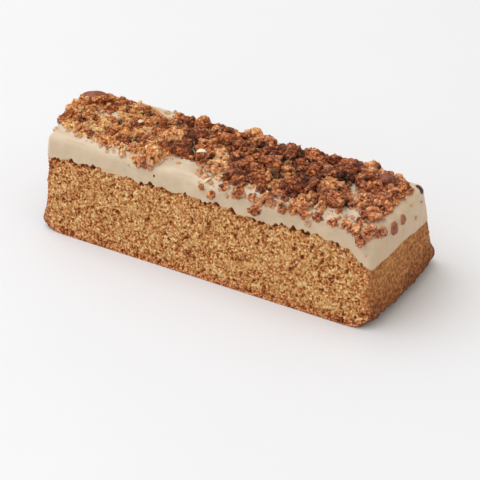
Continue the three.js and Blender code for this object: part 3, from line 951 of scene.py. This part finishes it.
def fringe_spots(count):
    """Spots along the crumble's front line and over the rim, in bare places, and by strays."""
    front = coat_section(np.float64(COAT_HEIGHT))[2] + RIM_INSET
    for x in grain_draw.uniform(CRUMBLE_LEFT, CRUMBLE_RIGHT, count):
        past = abs(grain_draw.normal(0, 1.2)) - 0.8
        y = np.interp(x, *zip(*FRONT_LINE)) - past
        if grain_draw.uniform() < BARE_SHARE:
            bare_x, bare_y, reach = BARE_PLACES[grain_draw.integers(len(BARE_PLACES))]
            x, y = grain_draw.normal((bare_x, bare_y), 0.5 * reach)
        if grain_draw.uniform() < STRAY_SHARE:
            place = spot_by_stray()
            yield place, np.array([0.0, -0.9, 0.3]), np.clip(grain_draw.normal(0.55, 0.15), 0, 1)
            continue
        over = max(front - y, 0)
        y = max(y, front)
        place = np.array([x, y, coat_surface(np.array([x]), np.array([y]))[0] - over])
        yield place, np.array([0.0, -0.5, 0.8]), np.clip(grain_draw.normal(0.7, 0.15), 0, 1)


def scattered(name, spots, sizes, cuts, sunk, patchiness=(-0.6, 0.5)):
    """A joined mesh of dented balls, each sunk by a share of its size."""
    shapes, faces = dented_shapes(cuts)
    smallest, largest = sizes
    parts = []
    for place, way, tone in spots:
        size = smallest + (largest - smallest) * grain_draw.uniform() ** 2
        stretch = grain_draw.uniform(0.7, 1.2, 3)
        points = (shapes[grain_draw.integers(DENTED_SHAPES)] * stretch * size / 2) @ random_turn()
        points = points + place + way * size * (0.5 - sunk)
        patches = np.full(len(points), grain_draw.uniform(*patchiness))
        parts.append((points, faces, {
            "tone": np.full(len(points), tone),
            # Painted shade on the grains that lie in the hollows.
            "painted_light": 1 - PAINTED_SHADE_IN_HOLLOW * in_hollow(points),
            "film": SCATTERED_FILM * milky(points, patches)}))
    return joined_mesh(name, parts)


nodules = scattered("crumble_nodules", picked_spots(NODULES), NODULE_SIZE, cuts=2, sunk=0.55)
fringe = scattered("crumble_fringe", fringe_spots(FRINGE), FRINGE_SIZE, cuts=3, sunk=0.6,
                   patchiness=(-0.7, 0.4))
grains = scattered("crumble_grains", picked_spots(GRAINS), GRAIN_SIZE, cuts=1, sunk=0.35)

# %% [markdown]
# ## The nut and other smooth bits
# One nut kernel lies on the far left corner. Among the crumble lie a few more smooth things: pale
# slivers of nut, lumps and drops of caramel, and a dark flake. Each is a ball stretched to an
# oval, bent a little and softly wrinkled, much smoother than anything round it. The coat has tiny
# dots of caramel too. Each row gives the place, the three sizes, the tone, from 0, burnt, to 1,
# pale, the turn, the rise of its tip and its bend. All but the burnt ones may wear film.

# %% Smooth bits
SMOOTH_BITS = [
    ((-53.1, 4.4, 33.2), (8.4, 5, 3.8), 0.37, 0.5, 0.0, 0.0),
    ((45.6, 6.2, 32.8), (5.0, 4.4, 4.0), 0.29, 0.6, 0.1, 0.0),
    ((54.9, 9.4, 31.05), (3.4, 1.5, 0.9), 0.12, 0.0, -0.78, 0.16),
    ((-7.2, -9.4, 35.0), (3.2, 1.7, 0.8), 0.88, 0.3, 0.1, 0.15),
    ((-0.4, -18.2, 31.0), (4.0, 1.0, 0.9), 0.84, 0.4, 1.15, 0.35),
    ((9.0, -14.6, 33.0), (2.4, 1.2, 0.8), 0.80, 1.0, 0.3, 0.1),
    ((-33.0, -2.0, 33.6), (2.6, 1.4, 0.7), 0.82, 0.9, 0.2, 0.15)]
DARKEST_FILMED = 0.2
END_DROP_SHAPES = [((2.6, 3.0, 4.2), 0.40), ((2.2, 2.2, 3.4), 0.42)]
FRONT_DOTS = [(52.8, 23.6, 1.5, 0.62), (46.0, 21.9, 1.1, 0.60), (-17.7, 28.3, 0.7, 0.10),
              (20.6, 29.2, 0.9, 0.5)]
END_DOTS = [(5.3, 23.9, 1.2, 0.60), (8.2, 27.8, 0.8, 0.55), (1.6, 30.0, 1.0, 0.55)]
DOT_DEPTH = 0.7
DOT_DROP = 1.2
DOT_PROUD = 0.1
WRINKLE = 0.03
GROOVE_DEPTH = 0.08
GROOVE_WIDTH = 0.16


def smooth_part(shape, place, sizes, tone, turn=0.0, rise=0.0, bend=0.0):
    """One smooth oval: its points, faces and values."""
    directions, faces = shape
    swelling = 0.16 * noise_at(directions, 0.8, sizes[0]) + 0.10 * noise_at(directions, 0.35, sizes[1])
    wrinkle = 1 + swelling + WRINKLE * noise_at(directions * (1, 4, 4), 0.6, 8.0)
    groove = np.exp(-(directions[:, 1] / GROOVE_WIDTH) ** 2) * (directions[:, 2] > 0)
    body = directions * (wrinkle * (1 - GROOVE_DEPTH * groove))[:, None] * np.array(sizes) / 2
    body[:, 2] += bend * (1 - 3 * directions[:, 0] ** 2)
    level, steep = math.cos(rise), math.sin(rise)
    lifted = np.array([[level, 0, steep], [0, 1, 0], [-steep, 0, level]])
    points = body @ lifted @ turned(turn) + np.array(place)
    film = milky(points, np.zeros(len(points))) * (tone > DARKEST_FILMED)
    return points, faces, {"tone": np.full(len(points), tone), "film": film}


bit_shape = ball(4)
dot_shape = ball(2)
smooth_parts = [smooth_part(bit_shape, *bit) for bit in SMOOTH_BITS]
for (x, y, z, *_), (sizes, tone) in zip(strays[len(FRONT_STRAYS):], END_DROP_SHAPES):
    smooth_parts.append(smooth_part(bit_shape, (x, y, z), sizes, tone))
for x, z, size, tone in FRONT_DOTS:
    place = (x, wall_side(FRONT, z, COAT_PROUD) + DOT_PROUD, z)
    smooth_parts.append(smooth_part(dot_shape, place, (size, DOT_DEPTH, size * DOT_DROP), tone))
for y, z, size, tone in END_DOTS:
    place = (wall_side(RIGHT, z, COAT_PROUD) - DOT_PROUD, y, z)
    smooth_parts.append(smooth_part(dot_shape, place, (DOT_DEPTH, size, size * DOT_DROP), tone))
nut = joined_mesh("nut", smooth_parts)

# %% [markdown]
# ## Materials
# Every finish is made of nodes. Small helpers keep them readable: they make a material, feed the
# inputs of a node, mix colours, build a colour ramp, and read a place or a value kept on the mesh.
# Colours are given as the eye sees them, in eight-bit steps, and turned into the linear values
# that Blender wants. Distances are given in millimetres.

# %% Material helpers
def linear(red, green, blue):
    """Blender's linear colour for a colour in screen values from 0 to 255, by the sRGB curve."""
    steps = np.array([red, green, blue]) / 255
    low = steps / 12.92
    high = ((steps + 0.055) / 1.055) ** 2.4
    return (*np.where(steps <= 0.04045, low, high), 1.0)


def new_material(name):
    material = bpy.data.materials.new(name)
    material.use_nodes = True
    print("finish:", name)
    return material, material.node_tree, material.node_tree.nodes["Principled BSDF"]


def feed(tree, socket, value):
    """Joins a socket to another one, or sets it to a plain value."""
    if isinstance(value, bpy.types.NodeSocket):
        tree.links.new(value, socket)
    else:
        socket.default_value = value


def feed_node(tree, node, **inputs):
    """Feeds a node's inputs by name, with _ for a space."""
    for name, value in inputs.items():
        feed(tree, node.inputs[name.replace("_", " ")], value)


def add_node(tree, kind, settings=None, **inputs):
    """A new node with its settings, and its inputs fed."""
    node = tree.nodes.new(kind)
    for name, value in (settings or {}).items():
        setattr(node, name, value)
    feed_node(tree, node, **inputs)
    return node


def colour_ramp(tree, factor, stops, colours):
    """A ramp with a colour, in screen values, at each stop."""
    node = add_node(tree, "ShaderNodeValToRGB", Fac=factor)
    elements = node.color_ramp.elements
    while len(elements) < len(stops):
        elements.new(0.5)
    for element, stop, colour in zip(elements, stops, colours):
        element.position = stop
        element.color = linear(*colour)
    return node.outputs["Color"]


def mixed(tree, factor, first, second):
    """Two colours mixed by a factor. The node has inputs for numbers too, so these go by index."""
    node = add_node(tree, "ShaderNodeMix", {"data_type": "RGBA"})
    for index, value in ((0, factor), (6, first), (7, second)):
        feed(tree, node.inputs[index], value)
    return node.outputs[2]


def arithmetic(tree, operation, first, second, clamp=False):
    node = add_node(tree, "ShaderNodeMath", {"operation": operation, "use_clamp": clamp})
    feed(tree, node.inputs[0], first)
    feed(tree, node.inputs[1], second)
    return node.outputs[0]


def weighted(tree, *shares):
    """A sum of (mask, weight) pairs."""
    total = 0.0
    for mask, weight in shares:
        total = arithmetic(tree, "ADD", arithmetic(tree, "MULTIPLY", mask, weight), total)
    return total


def tinted(tree, colour, tint, mask, share):
    """A colour that goes over to a tint, in screen values, by a share of a mask."""
    return mixed(tree, arithmetic(tree, "MULTIPLY", mask, share), colour, linear(*tint))


def kept_value(tree, name):
    """A value that was kept on the mesh, by its name."""
    return add_node(tree, "ShaderNodeAttribute", {"attribute_name": name}).outputs["Fac"]


def place_along(tree, axis):
    """Where a point lies along an axis, in metres."""
    where = add_node(tree, "ShaderNodeTexCoord").outputs["Object"]
    return add_node(tree, "ShaderNodeSeparateXYZ", Vector=where).outputs[axis]


def gone_past(tree, axis, start, reach):
    """0 up to start along an axis, rising to 1 at reach beyond it."""
    gone = arithmetic(tree, "SUBTRACT", place_along(tree, axis), start * MM)
    return arithmetic(tree, "DIVIDE", gone, reach * MM, clamp=True)


# %% [markdown]
# Fine grain is needed by all of them, so it is a node group: noise at a grain size given in
# millimetres, sharpened by a contrast. It goes out as a mask, which serves as a height too.

# %% Grain group
def grain_group():
    group = bpy.data.node_groups.new("fine_grain", "ShaderNodeTree")
    face = group.interface
    face.new_socket("Grain mm", in_out="INPUT", socket_type="NodeSocketFloat")
    face.new_socket("Contrast", in_out="INPUT", socket_type="NodeSocketFloat")
    face.new_socket("Mask", in_out="OUTPUT", socket_type="NodeSocketFloat")
    start = group.nodes.new("NodeGroupInput")
    end = group.nodes.new("NodeGroupOutput")
    where = group.nodes.new("ShaderNodeTexCoord").outputs["Object"]
    fineness = arithmetic(group, "DIVIDE", 1 / MM, start.outputs["Grain mm"])
    spread = add_node(group, "ShaderNodeTexNoise", Vector=where, Scale=fineness, Detail=3.0, Roughness=0.6)
    centred = arithmetic(group, "SUBTRACT", spread.outputs["Fac"], 0.5)
    sharper = arithmetic(group, "MULTIPLY", centred, start.outputs["Contrast"])
    mask = arithmetic(group, "ADD", sharper, 0.5, clamp=True)
    group.links.new(mask, end.inputs["Mask"])
    return group


FINE_GRAIN = grain_group()


def grain_mask(tree, grain, contrast):
    """The grain group, with its own grain size and contrast."""
    settings = {"node_tree": FINE_GRAIN}
    node = add_node(tree, "ShaderNodeGroup", settings, Grain_mm=grain, Contrast=contrast)
    return node.outputs["Mask"]


def bumped(tree, height, distance, strength):
    """A normal from a height, distance in millimetres."""
    node = add_node(tree, "ShaderNodeBump", Height=height, Distance=distance * MM, Strength=strength)
    return node.outputs["Normal"]


# %% [markdown]
# ## Sponge finish
# The crumb's colour follows the relief that was kept on the mesh: painted light on its ridges and
# painted shade, dark and red, in its pores and hollows, with fine noise on top for the grains too
# small to model. Near the foot and the ends it is redder, and the skin of the ends is a closed,
# even brown, dark at the foot.

# %% Sponge material
CRUMB_STOPS = (0.12, 0.30, 0.44, 0.60, 0.78)
CRUMB_COLOURS = [(112, 46, 16), (184, 106, 50), (226, 158, 90), (248, 192, 120), (255, 226, 164)]
RED_CRUMB_COLOURS = [(92, 34, 12), (158, 76, 34), (204, 118, 62), (234, 152, 92), (250, 196, 138)]
SKIN_STOPS = (0.20, 0.50, 0.75, 0.95)
SKIN_COLOURS = [(90, 42, 20), (148, 84, 46), (204, 134, 76), (234, 172, 106)]
DARK_FOOT = 10


def sponge_material():
    material, tree, shader = new_material("sponge")
    fine = grain_mask(tree, 0.66, 4.8)
    patch = grain_mask(tree, 2.6, 2.2)
    # The kept relief share brings painted light on the ridges and painted shade in the pores.
    tone = weighted(tree, (kept_value(tree, "painted_relief_light"), 0.45), (fine, 0.42), (patch, 0.13))
    crumb = colour_ramp(tree, tone, CRUMB_STOPS, CRUMB_COLOURS)
    redder = colour_ramp(tree, tone, CRUMB_STOPS, RED_CRUMB_COLOURS)
    red_patch = arithmetic(tree, "MULTIPLY", grain_mask(tree, 1.3, 3.0), 0.45)
    # Redness is baked crust, with red painted shade in the pores, and red patches.
    redness = arithmetic(tree, "ADD", kept_value(tree, "baked_and_shade"), red_patch, clamp=True)
    crumb = mixed(tree, redness, crumb, redder)
    rise = gone_past(tree, "Z", 0, DARK_FOOT)
    broad, speckle = grain_mask(tree, 6.0, 1.5), grain_mask(tree, 1.1, 5.0)
    skin_tone = weighted(tree, (rise, 0.46), (broad, 0.24), (speckle, 0.3))
    skin = colour_ramp(tree, skin_tone, SKIN_STOPS, SKIN_COLOURS)
    colour = mixed(tree, kept_value(tree, "cut"), skin, crumb)
    feed_node(tree, shader, Base_Color=colour, Roughness=0.82, Specular_IOR_Level=0.3,
              Normal=bumped(tree, fine, distance=0.42, strength=1.0))
    return material


# %% [markdown]
# ## Coat finish
# The coat is sugar and fat, set to a soft gloss. It is a warm beige, a little cloudy, and warmer
# along its lower edge. Painted light makes it paler near its rim, and painted shade makes the
# right-hand end warmer and darker. Light goes a short way in, which softens its rim.

# %% Coat material
COAT_DARK = (195, 171, 139)
COAT_PALE = (206, 184, 153)
COAT_CLOUD = (216, 198, 171)
COAT_END_PAINTED_SHADE = (199, 167, 128)
COAT_RIM_PAINTED_LIGHT = (216, 201, 180)
COAT_EDGE = (204, 172, 130)
END_FROM = 54.5
END_REACH = 2.5
PALER_FROM = 27.0
PALER_REACH = 5.0


def coat_material():
    material, tree, shader = new_material("coat")
    colour = mixed(tree, grain_mask(tree, 7.0, 1.6), linear(*COAT_DARK), linear(*COAT_PALE))
    colour = tinted(tree, colour, COAT_CLOUD, grain_mask(tree, 3.2, 3.0), 0.35)
    # Painted shade: the right-hand end is painted warmer and darker.
    colour = tinted(tree, colour, COAT_END_PAINTED_SHADE, gone_past(tree, "X", END_FROM, END_REACH), 0.75)
    # Painted light: the coat is painted paler towards its rim.
    colour = tinted(tree, colour, COAT_RIM_PAINTED_LIGHT, gone_past(tree, "Z", PALER_FROM, PALER_REACH), 0.28)
    colour = tinted(tree, colour, COAT_EDGE, kept_value(tree, "edge"), 0.35)
    fine = grain_mask(tree, 0.9, 1.8)
    feed_node(tree, shader, Base_Color=colour, Roughness=0.42, Subsurface_Weight=0.25,
              Subsurface_Radius=(1.0, 0.7, 0.4), Subsurface_Scale=1.2 * MM,
              Normal=bumped(tree, fine, distance=0.06, strength=0.6))
    return material


# %% [markdown]
# ## Crumble finish
# Each clump has its own tone, from pale butter brown to dark caramel, and the crumble is rosier
# towards the right. Creases and hollows get a painted shade, near black, and are dull, and here
# and there a clump wears a milky film of coat. Melted sugar makes the rest glint. The nut and the
# smooth bits are browner, and smoother.

# %% Crumble material
CRUMBLE_STOPS = (0.12, 0.32, 0.50, 0.68, 0.88)
GOLDEN_COLOURS = [(112, 47, 15), (180, 91, 37), (226, 137, 66), (250, 182, 108), (255, 222, 160)]
ROSY_COLOURS = [(86, 35, 18), (150, 75, 42), (204, 118, 72), (238, 166, 114), (254, 212, 168)]
PAINTED_SHADE_COLOUR = (30, 9, 4)
CRUMBLE_FILM = (222, 198, 170)
ROSY_PER_METRE = 0.4 / (56 * MM)


def crumble_material():
    material, tree, shader = new_material("crumble")
    fine = grain_mask(tree, 0.75, 4.6)
    sugary = grain_mask(tree, 1.1, 5.0)
    tone = weighted(tree, (kept_value(tree, "tone"), 0.62), (fine, 0.38))
    golden = colour_ramp(tree, tone, CRUMBLE_STOPS, GOLDEN_COLOURS)
    rosy = colour_ramp(tree, tone, CRUMBLE_STOPS, ROSY_COLOURS)
    rosiness = weighted(tree, (place_along(tree, "X"), ROSY_PER_METRE), (grain_mask(tree, 5.0, 3.0), 0.9))
    # The baked colour, golden to rosy; painted shade is mixed into it next.
    baked_and_shade = mixed(tree, arithmetic(tree, "ADD", rosiness, 0.0, clamp=True), golden, rosy)
    painted_light = kept_value(tree, "painted_light")
    # Painted shade: a near-black brown where the kept share is low, in seams, low parts and hollows.
    baked_and_shade = mixed(tree, painted_light, linear(*PAINTED_SHADE_COLOUR), baked_and_shade)
    colour = tinted(tree, baked_and_shade, CRUMBLE_FILM, kept_value(tree, "film"), 0.8)
    smoothness = arithmetic(tree, "ADD", arithmetic(tree, "MULTIPLY", sugary, 0.42), 0.36)
    glint = arithmetic(tree, "MULTIPLY", smoothness, painted_light)
    feed_node(tree, shader, Base_Color=colour, Roughness=arithmetic(tree, "SUBTRACT", 1.0, glint),
              Specular_IOR_Level=0.36, Subsurface_Weight=0.2, Subsurface_Radius=(1.0, 0.45, 0.2),
              Subsurface_Scale=0.8 * MM, Normal=bumped(tree, fine, distance=0.34, strength=0.9))
    return material


# %% Nut material
NUT_STOPS = (0.10, 0.44, 0.62, 0.80, 1.0)
NUT_COLOURS = [(40, 20, 14), (136, 66, 34), (184, 112, 70), (218, 178, 128), (244, 226, 194)]
NUT_FILM = (214, 188, 160)


def nut_material():
    material, tree, shader = new_material("nut")
    tone = weighted(tree, (kept_value(tree, "tone"), 1.0), (grain_mask(tree, 2.0, 2.5), 0.16))
    colour = colour_ramp(tree, tone, NUT_STOPS, NUT_COLOURS)
    colour = tinted(tree, colour, NUT_FILM, kept_value(tree, "film"), 0.5)
    fine = grain_mask(tree, 0.8, 1.6)
    feed_node(tree, shader, Base_Color=colour, Roughness=0.36,
              Normal=bumped(tree, fine, distance=0.10, strength=0.6))
    return material


# %% [markdown]
# ## Dressing the model
# Each piece takes its finish, rides on the one body, and hides the imported node that it stands
# for. The coat, the crumble and the nut together stand for the imported icing.

# %% Ride, replace and finish
def dress(piece, material, slot_name, *nodes):
    piece.data.materials.append(material)
    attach(piece, "root")
    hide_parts(*nodes)


dress(sponge, sponge_material(), "sponge", "cake")
dress(coat, coat_material(), "coat", "icing")
crumble_finish = crumble_material()
for piece in [bed, *clump_pieces, nodules, fringe, grains]:
    dress(piece, crumble_finish, "crumble", "icing")
dress(nut, nut_material(), "nut", "icing")

# %% [markdown]
# ## Floor, light and camera
# The bar lies on a plain pale floor under soft studio light: a wide lamp from the upper left, a
# weaker one from the front, and an even, bright surround. The camera stands in front of the bar's
# right half and looks down, as in the photograph, with a long lens that keeps the bar's edges
# nearly parallel.

# %% Floor
FLOOR_SIZE = 6.0
FLOOR_DARK = (228, 230, 232)
FLOOR_PALE = (231, 233, 235)
bm = bmesh.new()
bmesh.ops.create_grid(bm, x_segments=8, y_segments=8, size=FLOOR_SIZE / 2)
floor = finished_object("floor", bm)
material, tree, shader = new_material("floor")
pale = mixed(tree, grain_mask(tree, 60.0, 1.0), linear(*FLOOR_DARK), linear(*FLOOR_PALE))
feed_node(tree, shader, Base_Color=pale, Roughness=0.6)
floor.data.materials.append(material)

# %% Light
LAMPS = {"key": {"way": (-0.48, -0.10, 1.0), "width": 1.2, "power": 6.2},
         "front": {"way": (-0.25, -1.0, 0.85), "width": 1.0, "power": 1.9}}
LAMP_DISTANCE = 1.1
LAMP_COLOUR = (0.94, 1.0, 1.12)
LAMP_AIM = Vector((0, 0, 0.015))
SKY_STRENGTH = 0.76
SKY_COLOUR = (1.0, 0.935, 0.85, 1)


def aimed(name, data, place, aim):
    """A new lamp or camera at a place, turned to its aim."""
    holder = add_object(name, data)
    holder.location = place
    holder.rotation_euler = (aim - place).to_track_quat("-Z", "Y").to_euler()
    return holder


for name, lamp in LAMPS.items():
    light = bpy.data.lights.new(name, "AREA")
    light.shape = "DISK"
    light.size = lamp["width"]
    light.energy = lamp["power"]
    light.color = LAMP_COLOUR
    aimed(name, light, Vector(lamp["way"]).normalized() * LAMP_DISTANCE, LAMP_AIM)
surround = bpy.data.worlds.new("surround")
surround.use_nodes = True
feed_node(surround.node_tree, surround.node_tree.nodes["Background"], Color=SKY_COLOUR, Strength=SKY_STRENGTH)
bpy.context.scene.world = surround
bpy.context.scene.view_settings.view_transform = "Standard"
print(len(LAMPS), "lamps")

# %% Camera
CAMERA_PLACE = Vector((330.8, -569.1, 422.7)) * MM
CAMERA_AIM = Vector((-0.66, 1.80, 0.0)) * MM
CAMERA_LENS = 195
CAMERA_SENSOR = 36
CAMERA_NEAR = 0.05
view = bpy.data.cameras.new("camera")
view.lens = CAMERA_LENS
view.sensor_width = CAMERA_SENSOR
view.clip_start = CAMERA_NEAR
bpy.context.scene.camera = aimed("camera", view, CAMERA_PLACE, CAMERA_AIM)
print(f"camera {(CAMERA_AIM - CAMERA_PLACE).length:.2f} m from the bar")
